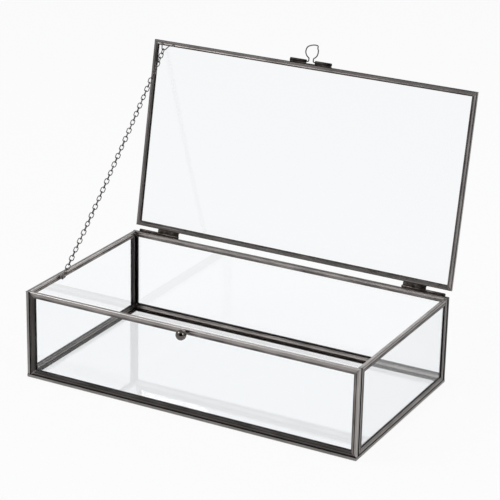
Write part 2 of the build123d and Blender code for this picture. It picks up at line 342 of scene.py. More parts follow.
def lay_streaks(strip, number, tight_folds, fold_tone, crease_tone, lip_tone, strip_shade):
    """Three UV maps. The first is in metres: along the strip, and round its section from the fold.
    The second gives the painted light of the fold, from 0 for a painted highlight to 1 for black
    painted shade, and how much painted shade darkens the whole strip. The third gives the painted
    light and shade of the crease and of the band at the lip."""
    strip.data.uv_layers[0].name = "along_the_strip"
    strip.data.uv_layers.new(name="finish")
    strip.data.uv_layers.new(name="crease")
    along, finish, creased = strip.data.uv_layers
    for face in strip.data.polygons:
        on_flange = abs(face.normal.z) > 0.7 or face.center.y > 1 * mm
        fold = (face.center.z > 0) - (face.center.z < 0)
        # A fold in a groove gets black painted shade.
        shaded_groove = fold in tight_folds and fold_tone != kept_tone
        for corner in face.loop_indices:
            spot = strip.data.vertices[strip.data.loops[corner].vertex_index].co
            across = spot.y + flange_from if on_flange else half_came - abs(spot.z)
            if face.normal.y > 0.8:
                across = lip_from
            along.data[corner].uv = (spot.x + number * strip_shift, across)
            finish.data[corner].uv = (1.0 if shaded_groove else fold_tone, strip_shade)
            creased.data[corner].uv = (crease_tone, lip_tone)


def noise_pattern(tree, way, scale, detail, roughness):
    """Noise from 0 to 1 at a number of patches to the metre."""
    return add_node(tree, "ShaderNodeTexNoise", {
        "Vector": way, "Scale": scale, "Detail": detail, "Roughness": roughness}).outputs["Fac"]


def mixed(tree, share, one, two, **settings):
    """One colour, turned into another by a share."""
    return add_node(
        tree, "ShaderNodeMix", {0: share, 6: one, 7: two}, data_type="RGBA", **settings).outputs[2]


def bare_metal(tree, shader, colour, roughness, pattern, bump):
    """Links the finish of a metal. Its bump is a strength and a height for the pattern, or None."""
    tree.links.new(colour, shader.inputs["Base Color"])
    tree.links.new(roughness, shader.inputs["Roughness"])
    if bump:
        relief = add_node(tree, "ShaderNodeBump", {
            "Height": pattern, "Strength": bump[0], "Distance": bump[1]})
        tree.links.new(relief.outputs["Normal"], shader.inputs["Normal"])
    shader.inputs["Metallic"].default_value = 1.0


patina, patina_tree, patina_shader = new_material("patinated_zinc_came")
strip_way, fold_and_strip_shading_way, crease_and_lip_shading_way = (
    add_node(patina_tree, "ShaderNodeUVMap", uv_map=uv_name).outputs["UV"]
    for uv_name in ("along_the_strip", "finish", "crease"))
strip_split, fold_and_strip_shading, crease_and_lip_shading = (
    add_node(patina_tree, "ShaderNodeSeparateXYZ", {"Vector": uv_way}).outputs
    for uv_way in (strip_way, fold_and_strip_shading_way, crease_and_lip_shading_way))
across_strip = strip_split["Y"]
# Streaks left by the brush and the rolls: about 22 mm long and 1 mm wide. The real ones are half
# as wide, but the photograph only shows the broad ones.
streak_way = add_node(patina_tree, "ShaderNodeMapping", {
    "Vector": strip_way, "Scale": (45.0, 1000.0, 1.0)})
streaks = noise_pattern(patina_tree, streak_way.outputs["Vector"], 1.0, 4.0, 0.6)
# Uneven blackening in clouds 26 mm long and 8 mm wide, a little brown where it is thin.
cloud_way = add_node(patina_tree, "ShaderNodeMapping", {
    "Vector": strip_way, "Scale": (38.0, 130.0, 1.0)})
clouds = noise_pattern(patina_tree, cloud_way.outputs["Vector"], 1.0, 3.0, 0.55)
patina_dark = colour_ramp(patina_tree, clouds, (0.34, "#736e6c"), (0.66, "#b2adaa"))
patina_light = colour_ramp(patina_tree, streaks, (0.3, "#c0b6b0"), (0.7, "#ffffff"))
patina_streaked = mixed(patina_tree, 0.85, patina_dark, patina_light, blend_type="MULTIPLY")
# A fold with a painted highlight is bright over half a millimetre. One in painted shade is as
# wide, or over a millimetre wide where it lies in a groove.
beyond_fold = maths(patina_tree, "GREATER_THAN", across_strip, flange_from / 2)
flange_start = maths(patina_tree, "MULTIPLY", beyond_fold, flange_from)
from_fold = maths(patina_tree, "SUBTRACT", across_strip, flange_start)
fold_band_end = band(patina_tree, fold_and_strip_shading["X"], 0.95, 1.0, 0.7 * mm, 1.3 * mm)
near_fold = band(
    patina_tree, from_fold, 0.3 * mm, fold_band_end, 1.0, 0.0, interpolation_type="SMOOTHSTEP")
# Painted shade and painted highlight at the fold, each set by the fold's level in the second UV
# map.
fold_shade_level = band(patina_tree, fold_and_strip_shading["X"], 0.5, 1.0, 0.0, 1.0)
fold_painted_shade = maths(patina_tree, "MULTIPLY", near_fold, fold_shade_level)
fold_highlight_level = band(patina_tree, fold_and_strip_shading["X"], 0.0, 0.5, 0.75, 0.0)
fold_painted_highlight = maths(patina_tree, "MULTIPLY", near_fold, fold_highlight_level)
# The web and the half of the flange at the fold are painted lighter, as a painted highlight.
highlight_most = 0.35
flange_painted_highlight = band(patina_tree, from_fold, 1.8 * mm, 2.8 * mm, highlight_most, 0.0)
painted_highlight_share = add_node(patina_tree, "ShaderNodeMix", {
    0: beyond_fold, 2: highlight_most, 3: flange_painted_highlight})
patina_highlit = mixed(patina_tree, painted_highlight_share.outputs[0], patina_streaked, hex_colour("#d4d0cd"))
# Some strips are darkened, nearly to black, by painted shade.
patina_shaded = mixed(patina_tree, fold_and_strip_shading["Y"], patina_highlit, hex_colour("#302d2b"))
# The crease and the lip at the glass get painted shade too, and on some strips the crease gets a
# painted highlight instead.
lip_band_shade = band(
    patina_tree, across_strip, flange_from + 3.4 * mm, flange_from + 3.9 * mm,
    0.0, crease_and_lip_shading["Y"])
lip_edge_shade = maths(patina_tree, "GREATER_THAN", across_strip, lip_from - 3 * mm)
lip_painted_shade = maths(patina_tree, "MAXIMUM", lip_band_shade, lip_edge_shade)
from_crease = maths(patina_tree, "SUBTRACT", across_strip, flange_from + crease)
beside_crease = maths(patina_tree, "ABSOLUTE", from_crease)
in_crease = band(patina_tree, beside_crease, 0.2 * mm, 0.5 * mm, 1.0, 0.0)
crease_shade_level = band(patina_tree, crease_and_lip_shading["X"], 0.5, 1.0, 0.0, 0.85)
crease_painted_shade = maths(patina_tree, "MULTIPLY", in_crease, crease_shade_level)
crease_highlight_level = band(patina_tree, crease_and_lip_shading["X"], 0.0, 0.5, 0.7, 0.0)
crease_painted_highlight = maths(patina_tree, "MULTIPLY", in_crease, crease_highlight_level)
# All the painted highlights and painted shade of the came, laid over its patina.
painted_highlight = maths(patina_tree, "MAXIMUM", fold_painted_highlight, crease_painted_highlight)
crease_and_lip_shade = maths(patina_tree, "MAXIMUM", crease_painted_shade, lip_painted_shade)
painted_shade = maths(patina_tree, "MAXIMUM", fold_painted_shade, crease_and_lip_shade)
patina_edge_highlit = mixed(patina_tree, painted_highlight, patina_shaded, hex_colour("#dedad7"))
patina_colour = mixed(patina_tree, painted_shade, patina_edge_highlit, hex_colour("#151312"))
patina_rough = band(patina_tree, streaks, 0.0, 1.0, 0.22, 0.42)
bare_metal(patina_tree, patina_shader, patina_colour, patina_rough, streaks, (0.2, 0.05 * mm))

# Each panel is laid out flat and then set in its place.
upright_x = Matrix.Rotation(pi / 2, 4, "X")
end_turn = Matrix(((0, 0, 1), (1, 0, 0), (0, 1, 0))).to_4x4()
panel_places = {
    "front": Matrix.Translation((corner_step / 2, front_face + half_came, wall_middle)) @ upright_x,
    "back": Matrix.Translation((0, back_face - half_came, wall_middle)) @ upright_x,
    "left": Matrix.Translation((left_face + half_came, -corner_step / 2, wall_middle)) @ end_turn,
    "right": Matrix.Translation((-left_face - half_came, 0, wall_middle)) @ end_turn,
    "bottom": Matrix.Translation((0, 0, half_came)),
    "lid": swing_open @ Matrix.Translation((0, (lid_front + lid_rear) / 2, lid_middle)),
}
panel_sizes = {
    "front": (box_width - corner_step, wall_height),
    "back": (box_width, wall_height),
    "left": (box_depth - corner_step, wall_height),
    "right": (box_depth - 2 * corner_step, wall_height),
    "bottom": (box_width, box_depth),
    "lid": (box_width, lid_length),
}
wall_sides = ("bottom", "top", "left", "right")
end_sides = ("bottom", "top", "front", "rear")
flat_sides = ("front", "rear", "left", "right")
panel_sides = {"front": wall_sides, "back": wall_sides, "left": end_sides, "right": end_sides,
               "bottom": flat_sides, "lid": flat_sides}

# How much painted shade darkens each strip, from 0 to 1, and the painted highlight or painted
# shade of its folds, its crease and the band at its lip. The strips that aren't named have the
# usual tone. Those of the lid have folds in painted shade and no mark on the crease.
painted_strip_shade = {
    "front_came_bottom": 0.75, "front_came_left": 0.8, "back_came_left": 0.8,
    "left_came_rear": 0.75, "back_came_right": 0.95, "bottom_came_front": 0.3,
    "left_came_front": 0.25, "left_came_bottom": 0.4, "lid_came_front": 0.4,
    "lid_came_rear": 0.6, "lid_came_left": 0.3,
}
fold_light_and_shade = {
    "front_came_top": 0.2, "bottom_came_front": 0.0, "back_came_top": 0.85,
    "back_came_bottom": kept_tone, "right_came_top": 0.75,
}
crease_light_and_shade = {
    "front_came_top": 0.2, "front_came_bottom": 0.8, "back_came_bottom": 0.4,
    "back_came_top": 0.5, "front_came_left": 0.5, "right_came_bottom": 0.5,
}
lip_shade_levels = {
    "front_came_bottom": 0.0, "right_came_bottom": 0.0, "back_came_bottom": 1.0,
    "lid_came_left": 1.0, "lid_came_front": 1.0,
}
usual_fold = 0.2
usual_lid_fold = 0.95
usual_crease = 1.0
plain_crease = 0.5
usual_lip = 0.35

# The place of a fold in a strip's section. It lies in a groove where it is within reach of the box
# of another strip.
fold_y = 0.2 * mm
fold_z = 1.4 * mm
groove_reach = 1.15 * mm
came_boxes = {}
for panel, sides in panel_sides.items():
    if panel != "lid":
        for side in sides:
            solid = frame["nodes"][panel + "_came_" + side]
            corners = [solid.matrix_world @ Vector(corner) for corner in solid.bound_box]
            came_boxes[solid.name] = [(min(ways), max(ways)) for ways in zip(*corners)]

base_came = roll_formed_came("base_came_stock", base_flange)
lid_came = roll_formed_came("lid_came_stock", lid_flange)
strip_count = 0
for panel, (panel_wide, panel_high) in panel_sizes.items():
    in_lid = panel == "lid"
    stock = lid_came if in_lid else base_came
    for side, (strip_length, side_x, side_y, side_turn) in zip(panel_sides[panel], (
        (panel_wide, 0, -panel_high / 2, 0),
        (panel_wide, 0, panel_high / 2, pi),
        (panel_high, -panel_wide / 2, 0, -pi / 2),
        (panel_high, panel_wide / 2, 0, pi / 2),
    )):
        strip = copy_piece(stock, panel + "_channel_" + side, Matrix.Identity(4))
        stretch = strip_length / 2 - stock_half
        for spot in strip.data.vertices:
            spot.co.x += stretch if spot.co.x > 0 else -stretch
        strip_count += 1
        node_name = panel + "_came_" + side
        side_place = Matrix.Translation((side_x, side_y, 0)) @ Matrix.Rotation(side_turn, 4, "Z")
        strip_place = panel_places[panel] @ side_place
        tight_folds = []
        for fold in (-1, 1):
            on_fold = strip_place @ Vector((0, fold_y, fold * fold_z))
            for other, box in came_boxes.items():
                if not in_lid and other != node_name and all(
                        low - groove_reach < way < high + groove_reach
                        for way, (low, high) in zip(on_fold, box)):
                    tight_folds.append(fold)
        lay_streaks(
            strip, strip_count, tight_folds,
            fold_tone=usual_lid_fold if in_lid else fold_light_and_shade.get(node_name, usual_fold),
            crease_tone=plain_crease if in_lid else crease_light_and_shade.get(node_name, usual_crease),
            lip_tone=lip_shade_levels.get(node_name, usual_lip),
            strip_shade=painted_strip_shade.get(node_name, 0.0))
        strip.data.transform(strip_place)
        finish_piece(strip, patina, "came", "lid" if in_lid else "base", node_name, smooth=32)
discard(base_came)
discard(lid_came)


# Solder at the mitres: a low smear along each cut, wiped with a hot iron and blackened with the
# rest, so it is a little duller and lumpier than the came.

def mottled_metal(name, scale, grain, tones, roughness, bump=None):
    """A metal whose colour, roughness and bump follow one noise, with its detail and roughness as
    the grain."""
    metal, tree, shader = new_material(name)
    way = add_node(tree, "ShaderNodeTexCoord")
    pattern = noise_pattern(tree, way.outputs["Object"], scale, *grain)
    bare_metal(
        tree, shader, colour_ramp(tree, pattern, *tones), band(tree, pattern, 0.0, 1.0, *roughness),
        pattern, bump)
    return metal


# Lumps about 1 mm across, where the iron has lifted.
solder_skin = mottled_metal(
    "wiped_solder", scale=900.0, grain=(3.0, 0.6), tones=((0.3, "#5d5856"), (0.7, "#979391")),
    roughness=(0.28, 0.5), bump=(0.5, 0.1 * mm))

smear_inset = 0.52
smear_half_thickness = 0.17 * mm
smear_sink = 0.02 * mm


def roughen(piece, scale, amount, seed=0):
    """Moves each point a little, as solder and hand-bent metal are never quite true."""
    for spot in piece.data.vertices:
        shift = noise.noise_vector(spot.co * scale + Vector((seed * 7.3, seed * 3.1, seed * 5.7)))
        spot.co += shift * amount


for panel, (panel_wide, panel_high) in panel_sizes.items():
    if panel == "bottom":
        continue
    flange = lid_flange if panel == "lid" else base_flange
    smears = []
    for corner_x in (-1, 1):
        for corner_y in (-1, 1):
            for face_side in (-1, 1):
                bpy.ops.mesh.primitive_uv_sphere_add(segments=20, ring_count=10, radius=1)
                smear = start_piece("smear")
                long_way = flange * sqrt(2) * random.uniform(0.42, 0.5)
                wide_way = random.uniform(0.55, 0.85) * mm
                smear.data.transform(Matrix.Diagonal((long_way, wide_way, smear_half_thickness, 1)))
                roughen(smear, 700, 0.12 * mm, len(smears) + 9 * ord(panel[0]))
                on_cut = Matrix.Translation((
                    corner_x * (panel_wide / 2 - flange * smear_inset),
                    corner_y * (panel_high / 2 - flange * smear_inset),
                    face_side * (half_came - smear_sink),
                )) @ Matrix.Rotation(atan2(-corner_y, -corner_x), 4, "Z")
                smear.data.transform(panel_places[panel] @ on_cut)
                smears.append(smear)
    joint = join_pieces(smears[0], smears[1:])
    joint.name = panel + "_mitre_solder"
    finish_piece(joint, solder_skin, "solder", "lid" if panel == "lid" else "base", smooth=60)


# Solder in the four upright seams between the walls: a thin bead run down each seam once the
# panels stand in their places, sunk below the faces and blackened with the rest.

bead_inset = came_thickness + seam_width / 2
bead_sink = 0.7 * mm
bead_deep = came_thickness - 2 * bead_sink
bead_broad = seam_width * 0.98
bead_wave = 0.16 * mm


def stands_up(edge):
    return abs(edge.verts[0].co.z - edge.verts[1].co.z) > wall_height / 2


beads = []
for number, (bead_x, bead_y, across) in enumerate((
    (left_face + bead_inset, front_face + half_came, False),
    (left_face + half_came, back_face - bead_inset, True),
    (-left_face - half_came, front_face + bead_inset, True),
    (-left_face - half_came, back_face - bead_inset, True),
)):
    bead_wide = (bead_deep, bead_broad) if across else (bead_broad, bead_deep)
    bpy.ops.mesh.primitive_cube_add(
        size=1, location=(bead_x, bead_y, wall_middle), scale=(*bead_wide, wall_height - 0.2 * mm))
    bead = start_piece("bead")
    bpy.ops.object.mode_set(mode="EDIT")
    pick(bead, "edges", stands_up)
    bpy.ops.mesh.bevel(offset=0.25 * mm, segments=3, affect="EDGES")
    pick(bead, "edges", stands_up)
    bpy.ops.mesh.subdivide(number_cuts=60)
    bpy.ops.object.mode_set(mode="OBJECT")
    for spot in bead.data.vertices:
        wave = noise.noise(Vector((number * 9.0, 0, spot.co.z * 260))) * bead_wave
        if across:
            spot.co.x += wave
        else:
            spot.co.y += wave
    beads.append(bead)
seam_solder = join_pieces(beads[0], beads[1:])
seam_solder.name = "seam_beads"
finish_piece(seam_solder, solder_skin, "solder", "base", "corner_solder", smooth=60)


# Glass: six panes of clear 2 mm float glass, held in the came. It is almost invisible head on,
# with a faint cold tinge and sharp reflections at a low angle.

glass, _, glass_shader = new_material("clear_float_glass")
glass_shader.inputs["Base Color"].default_value = hex_colour("#fcfdfe")
glass_shader.inputs["Roughness"].default_value = 0.0
glass_shader.inputs["IOR"].default_value = 1.5
glass_shader.inputs["Transmission Weight"].default_value = 1.0
for panel in panel_sizes:
    pane = frame["nodes"][panel + "_glass"]
    for pane_slot in pane.material_slots:
        pane_slot.material = glass


# Hinges: each is two knuckles rolled from brass strip, on one headed pin. The outer leaf is
# soldered down the back of the box, the inner one turns up behind the lid. Both are blackened,
# and worn brown where they are handled.

pin_diameter = 1.2 * mm
pin_head_radius = 1.1 * mm
pin_head_length = 0.5 * mm
knuckle_middle = 0.95 * mm
knuckle_sheet = 0.62 * mm
hinge_outer = -left_face - 5 * mm
hinge_split = hinge_outer - 17 * mm
lid_knuckle = (hinge_split - 21.0 * mm, hinge_split - 0.3 * mm)

# Wear in patches of 2 to 4 mm that lets the brown under the black through.
worn_brass = mottled_metal(
    "blackened_brass_strip", scale=320.0, grain=(5.0, 0.62),
    tones=((0.36, "#2f2b2a"), (0.66, "#6f6660")), roughness=(0.26, 0.5), bump=(0.3, 0.05 * mm))


def rolled_strip(name, outline, start_x, end_x, thickness):
    """Sheet metal bent along an outline of (y, z) points and cut from start_x to end_x."""
    bpy.ops.mesh.primitive_plane_add(size=1)
    sheet = start_piece(name)
    bpy.ops.object.mode_set(mode="EDIT")
    bpy.ops.mesh.delete(type="VERT")
    grid = bmesh.from_edit_mesh(sheet.data)
    spots = [grid.verts.new((start_x, y, z)) for y, z in outline]
    for one, two in zip(spots, spots[1:]):
        grid.edges.new((one, two))
    bmesh.update_edit_mesh(sheet.data)
    bpy.ops.mesh.select_mode(type="EDGE")
    bpy.ops.mesh.select_all(action="SELECT")
    bpy.ops.mesh.extrude_region_move(TRANSFORM_OT_translate={"value": (end_x - start_x, 0, 0)})
    bpy.ops.mesh.select_all(action="SELECT")
    bpy.ops.mesh.normals_make_consistent(inside=False)
    bpy.ops.object.mode_set(mode="OBJECT")
    thicken = sheet.modifiers.new("thickness", "SOLIDIFY")
    thicken.thickness = thickness
    thicken.offset = 0
    thicken.use_even_offset = True
    bpy.ops.object.modifier_apply(modifier="thickness")
    soften = sheet.modifiers.new("soft_edges", "BEVEL")
    soften.width = 0.1 * mm
    soften.segments = 2
    soften.limit_method = "ANGLE"
    soften.angle_limit = radians(50)
    bpy.ops.object.modifier_apply(modifier="soft_edges")
    bpy.ops.object.mode_set(mode="EDIT")
    bpy.ops.mesh.select_all(action="SELECT")
    bpy.ops.mesh.normals_make_consistent(inside=False)
    bpy.ops.object.mode_set(mode="OBJECT")
    return sheet


def arc_points(centre_y, centre_z, radius, first, last, count):
    """Points of an arc in the (y, z) plane, angles in degrees from +Y towards +Z."""
    steps = [radians(first + (last - first) * i / count) for i in range(count + 1)]
    return [(centre_y + radius * cos(a), centre_z + radius * sin(a)) for a in steps]


# Each leaf starts flat on the came, and then rolls round the pin.
base_leaf_y = back_face + knuckle_sheet / 2
lid_leaf_y = lid_rear + knuckle_sheet / 2
base_leaf_line = [
    (base_leaf_y, base_height - 4.0 * mm), (base_leaf_y + 0.01 * mm, base_height - 1.4 * mm),
    *arc_points(hinge_y, hinge_z, knuckle_middle, 178, -146, 26),
]
lid_leaf_line = [
    (lid_leaf_y, hinge_z + 2.85 * mm), (lid_leaf_y, hinge_z + 1.5 * mm),
    (lid_leaf_y + 0.11 * mm, hinge_z + 1.14 * mm), (lid_leaf_y + 0.41 * mm, hinge_z + 0.98 * mm),
    *arc_points(hinge_y, hinge_z, knuckle_middle, 90, -205, 26),
]

for side, hand in (("right", 1), ("left", -1)):
    mirror_hand = Matrix.Diagonal((hand, 1, 1, 1))
    base_leaf = rolled_strip("leaf", base_leaf_line, hinge_split, hinge_outer, knuckle_sheet)
    leaf = copy_piece(base_leaf, "rolled_base_leaf_" + side, mirror_hand)
    discard(base_leaf)
    finish_piece(leaf, worn_brass, "fittings", "base", "hinge_" + side + "_base_leaf", smooth=40)

    lid_leaf = rolled_strip("leaf", lid_leaf_line, lid_knuckle[0], lid_knuckle[1], knuckle_sheet)
    leaf = copy_piece(lid_leaf, "rolled_lid_leaf_" + side, swing_open @ mirror_hand)
    discard(lid_leaf)
    finish_piece(leaf, worn_brass, "fittings", "lid", "hinge_" + side + "_lid_leaf", smooth=40)

    pin_start = lid_knuckle[0] - 0.05 * mm
    pin_middle = (pin_start + hinge_outer) / 2
    bpy.ops.mesh.primitive_cylinder_add(
        vertices=24, radius=pin_diameter / 2, depth=hinge_outer - pin_start + 0.6 * mm,
        location=(pin_middle, hinge_y, hinge_z), rotation=(0, pi / 2, 0))
    pin = start_piece("pin")
    heads = []
    for head_end, outward in ((pin_start, -1), (hinge_outer, 1)):
        bpy.ops.mesh.primitive_cylinder_add(
            vertices=24, radius=pin_head_radius, depth=pin_head_length,
            location=(head_end + outward * pin_head_length / 2, hinge_y, hinge_z),
            rotation=(0, pi / 2, 0))
        head = start_piece("head")
        bpy.ops.object.mode_set(mode="EDIT")
        pick(head, "faces", lambda f, way=outward: f.normal.x * way > 0.9)
        bpy.ops.mesh.bevel(offset=0.34 * mm, segments=4, affect="EDGES")
        bpy.ops.object.mode_set(mode="OBJECT")
        heads.append(head)
    join_pieces(pin, heads)
    whole_pin = copy_piece(pin, "headed_pin_" + side, mirror_hand)
    discard(pin)
    finish_piece(whole_pin, worn_brass, "fittings", "base", "hinge_" + side + "_pin", smooth=40)


# Latch leaf: a strip of the same sheet on the free edge of the lid. Each end is rolled forward
# into a barrel round one leg of the wire loop, and the middle is cut away for it to swing.

latch_y = lid_front - 2.2 * mm
latch_z = lid_middle
barrel_inner = 4.25 * mm
latch_end = 19 * mm
barrel_middle = 1.1 * mm
latch_sheet = 0.58 * mm
latch_leaf_y = lid_front - 0.3 * mm
latch_half_height = 1.38 * mm

barrel_line = [
    (latch_leaf_y, latch_z + latch_half_height), (latch_leaf_y, latch_z - 0.55 * mm),
    (latch_leaf_y - 0.2 * mm, latch_z - 0.98 * mm),
    (latch_leaf_y - 0.65 * mm, latch_z - barrel_middle),
    *arc_points(latch_y, latch_z, barrel_middle, -90, -388, 26),
]
flat_line = [(latch_leaf_y, latch_z + up * latch_half_height) for up in (1, -1)]
latch_parts = [
    rolled_strip("barrel", barrel_line, -latch_end, -barrel_inner, latch_sheet),
    rolled_strip("barrel", barrel_line, barrel_inner, latch_end, latch_sheet),
    rolled_strip("bridge", flat_line, -barrel_inner - 0.2 * mm, barrel_inner + 0.2 * mm, 0.5 * mm),
]
latch = join_pieces(latch_parts[0], latch_parts[1:])
latch.name = "rolled_latch_leaf"
# The barrels are nearly black.
black_brass = worn_brass.copy()
black_brass.name = "black_brass_barrel"
black_tone = black_brass.node_tree.nodes["Color Ramp"].color_ramp.elements
black_tone[0].color = hex_colour("#171514")
black_tone[1].color = hex_colour("#45403e")
on_barrel = [face.center.y < lid_front - 0.9 * mm for face in latch.data.polygons]
latch.data.transform(swing_open)
finish_piece(latch, worn_brass, "fittings", "lid", "latch_leaf", smooth=40)
latch.data.materials.append(black_brass)
for face, dark in zip(latch.data.polygons, on_barrel):
    face.material_index = int(dark)


# Wire loop: 1 mm hard wire bent by hand, its two legs turned out into the barrels and a round
# eye above the neck that drops over the ball. The eye is kinked at one side of its top.

loop_wire = 1.0 * mm
ball_y = front_face - 7.4 * mm
ball_z = base_height - 2.35 * mm
loop_reach = hypot(ball_y - latch_y, ball_z - latch_z)
loop_radius = 5.7 * mm
loop_neck = 2.1 * mm
loop_bend = 0.9 * mm
loop_leg = 9 * mm
loop_shoulder = 1.0 * mm

# Fine drawing marks and rubbed spots, about 1 mm apart.
dark_wire = mottled_metal(
    "blackened_steel_wire", scale=1100.0, grain=(3.0, 0.6),
    tones=((0.35, "#454140"), (0.7, "#787371")), roughness=(0.2, 0.4))


def bent_wire(name, points, diameter, smooth_order=0):
    """A round wire along points, as a mesh. With an order it is bent smoothly near them."""
    line = bpy.data.curves.new(name, "CURVE")
    line.dimensions = "3D"
    line.bevel_depth = diameter / 2
    line.bevel_resolution = 4
    line.use_fill_caps = True
    run = line.splines.new("NURBS" if smooth_order else "POLY")
    run.points.add(len(points) - 1)
    for spot, point in zip(run.points, points):
        spot.co = (*point, 1)
    if smooth_order:
        run.use_endpoint_u = True
        run.order_u = smooth_order
        run.resolution_u = 8
    holder = bpy.data.objects.new(name, line)
    bpy.context.scene.collection.objects.link(holder)
    bpy.ops.object.select_all(action="DESELECT")
    holder.select_set(True)
    bpy.context.view_layer.objects.active = holder
    bpy.ops.object.convert(target="MESH")
    wire = bpy.context.object
    bpy.ops.object.mode_set(mode="EDIT")
    bpy.ops.mesh.select_all(action="SELECT")
    bpy.ops.mesh.remove_doubles(threshold=1e-6)
    bpy.ops.mesh.normals_make_consistent(inside=False)
    bpy.ops.object.mode_set(mode="OBJECT")
    return wire


shoulder_x = loop_neck + loop_shoulder
shoulder_y = loop_reach - sqrt((loop_radius + loop_shoulder) ** 2 - shoulder_x ** 2)
loop_lean = atan2(loop_reach - shoulder_y, shoulder_x)
half_loop = [(loop_neck + loop_bend + loop_leg, 0), (loop_neck + loop_bend, 0)]
for step in range(1, 7):
    angle = radians(270 - 90 * step / 6)
    half_loop.append((
        loop_neck + loop_bend + loop_bend * cos(angle), loop_bend + loop_bend * sin(angle)))
half_loop.append((loop_neck, (loop_bend + shoulder_y) / 2))
for step in range(0, 6):
    angle = pi - loop_lean * step / 6
    half_loop.append((
        shoulder_x + loop_shoulder * cos(angle), shoulder_y + loop_shoulder * sin(angle)))
for step in range(0, 19):
    angle = -loop_lean + (pi / 2 + loop_lean) * step / 18
    half_loop.append((loop_radius * cos(angle), loop_reach + loop_radius * sin(angle)))
loop_line = half_loop + [(-x, y) for x, y in reversed(half_loop[:-1])]

# How the eye departs from a circle: a kink that is drawn out at the upper right, a flat to the left
# of it and a swell to the right. Each has its size, its place and how far it fades, in radians.
kink_angle = 0.84
kink_out, kink_fade_left, kink_fade_right = 1.9 * mm, 0.75, 0.22
flat_in, flat_angle, flat_fade = 0.35 * mm, 1.1, 0.5
swell_out, swell_angle, swell_fade = 0.4 * mm, 0.4, 0.4


def kinked(x, y):
    """A point of the loop, moved as the wire was bent by hand."""
    turn = atan2(y - loop_reach, x) - kink_angle
    if turn > 0:
        draw_out = kink_out * max(0.0, 1 - turn / kink_fade_left) ** 1.5
        draw_out -= flat_in * max(0.0, 1 - abs(turn - flat_angle) / flat_fade)
    else:
        draw_out = kink_out * max(0.0, 1 + turn / kink_fade_right)
        draw_out += swell_out * max(0.0, 1 - abs(turn + swell_angle) / swell_fade)
    return (x + draw_out * cos(turn + kink_angle), y + draw_out * sin(turn + kink_angle))


loop_turn = Matrix(((1, 0, 0), (0, -1, 0), (0, 0, -1))).to_4x4()
loop_flat = Matrix.Translation((0, latch_y, latch_z)) @ loop_turn
loop_points = [swing_open @ loop_flat @ Vector((*kinked(x, y), 0)) for x, y in loop_line]
loop_eye = bent_wire("bent_wire_loop", loop_points, loop_wire)
finish_piece(loop_eye, dark_wire, "fittings", "latch_loop", "latch_loop", smooth=60)


# Knob: a turned brass ball with its neck and collar, black plated and polished, on a puddle of
# solder on the front top rail.

ball_radius = 4.35 * mm
knob_seat = front_face - 0.25 * mm

# Faint haze from handling, in patches of about 3 mm.
black_plate = mottled_metal(
    "polished_black_plating", scale=350.0, grain=(3.0, 0.5),
    tones=((0.0, "#66615d"), (1.0, "#78726d")), roughness=(0.03, 0.08))

profile = [(0.0, ball_y - ball_radius)]
for step in range(1, 22):
    angle = radians(-90 + 163.5 * step / 21)
    profile.append((ball_radius * cos(angle), ball_y + ball_radius * sin(angle)))
stem_radius = 1.2 * mm
profile += [(stem_radius, ball_y + ball_radius), (stem_radius, knob_seat - 0.95 * mm)]
profile += [(1.38 * mm, knob_seat - 0.82 * mm), (1.55 * mm, knob_seat - 0.62 * mm)]
profile += [(1.55 * mm, knob_seat - 0.12 * mm), (1.45 * mm, knob_seat), (0.0, knob_seat)]

bpy.ops.mesh.primitive_plane_add(size=1)
knob = start_piece("turned_ball_knob")
bpy.ops.object.mode_set(mode="EDIT")
bpy.ops.mesh.delete(type="VERT")
turning = bmesh.from_edit_mesh(knob.data)
spots = [turning.verts.new((r, y, ball_z)) for r, y in profile]
for one, two in zip(spots, spots[1:]):
    turning.edges.new((one, two))
bmesh.update_edit_mesh(knob.data)
bpy.ops.mesh.select_mode(type="EDGE")
bpy.ops.mesh.select_all(action="SELECT")
bpy.ops.mesh.spin(steps=40, angle=2 * pi, center=(0, 0, ball_z), axis=(0, 1, 0))
bpy.ops.mesh.select_all(action="SELECT")
bpy.ops.mesh.remove_doubles(threshold=1e-6)
bpy.ops.mesh.normals_make_consistent(inside=False)
bpy.ops.object.mode_set(mode="OBJECT")
finish_piece(knob, black_plate, "knob", "base", "knob", smooth=40)

bpy.ops.mesh.primitive_uv_sphere_add(segments=32, ring_count=12, radius=1, location=(0, 0, 0))
puddle = start_piece("knob_solder_puddle")
puddle.data.transform(Matrix.Diagonal((3.5 * mm, 0.34 * mm, 2.0 * mm, 1)))
roughen(puddle, 420, 0.22 * mm, 3)
puddle.data.transform(Matrix.Translation((0, front_face - 0.02 * mm, ball_z)))
finish_piece(puddle, solder_skin, "solder", "base", "knob_solder_pad", smooth=60)


# Stay chain: 54 oval links of 0.8 mm wire, each threaded through the last at a quarter turn. It
# hangs from the bail of the lid to the eye on the left rail with a slight sag, and between them it
# is turned a little about its own length, so that every other link faces the front right corner.

link_length = 5.8 * mm
link_width = 4.3 * mm
link_wire = 0.8 * mm
crossing = link_wire + 0.1 * mm
link_reach = link_length - link_wire
pair_length = 2 * link_reach - 2 * crossing
link_straight = (link_length - link_width) / 2

bpy.ops.mesh.primitive_torus_add(
    major_radius=(link_width - link_wire) / 2, minor_radius=link_wire / 2,
    major_segments=24, minor_segments=8, rotation=(pi / 2, 0, 0))
oval_link = start_piece("oval_link")
for spot in oval_link.data.vertices:
    spot.co.z += link_straight if spot.co.z > 0 else -link_straight

eye_x = left_face + came_thickness + 2.5 * mm
eye_y = -38.7735 * mm
eye_z = base_height - 2.8 * mm
bail_x = left_face + 10.6 * mm
# The turn about the chain's length, the share of the chain at each end over which it grows, and how
# far a link may stray from it, in degrees.
chain_turn = radians(24)
turn_growth = 0.08
link_stray = 4

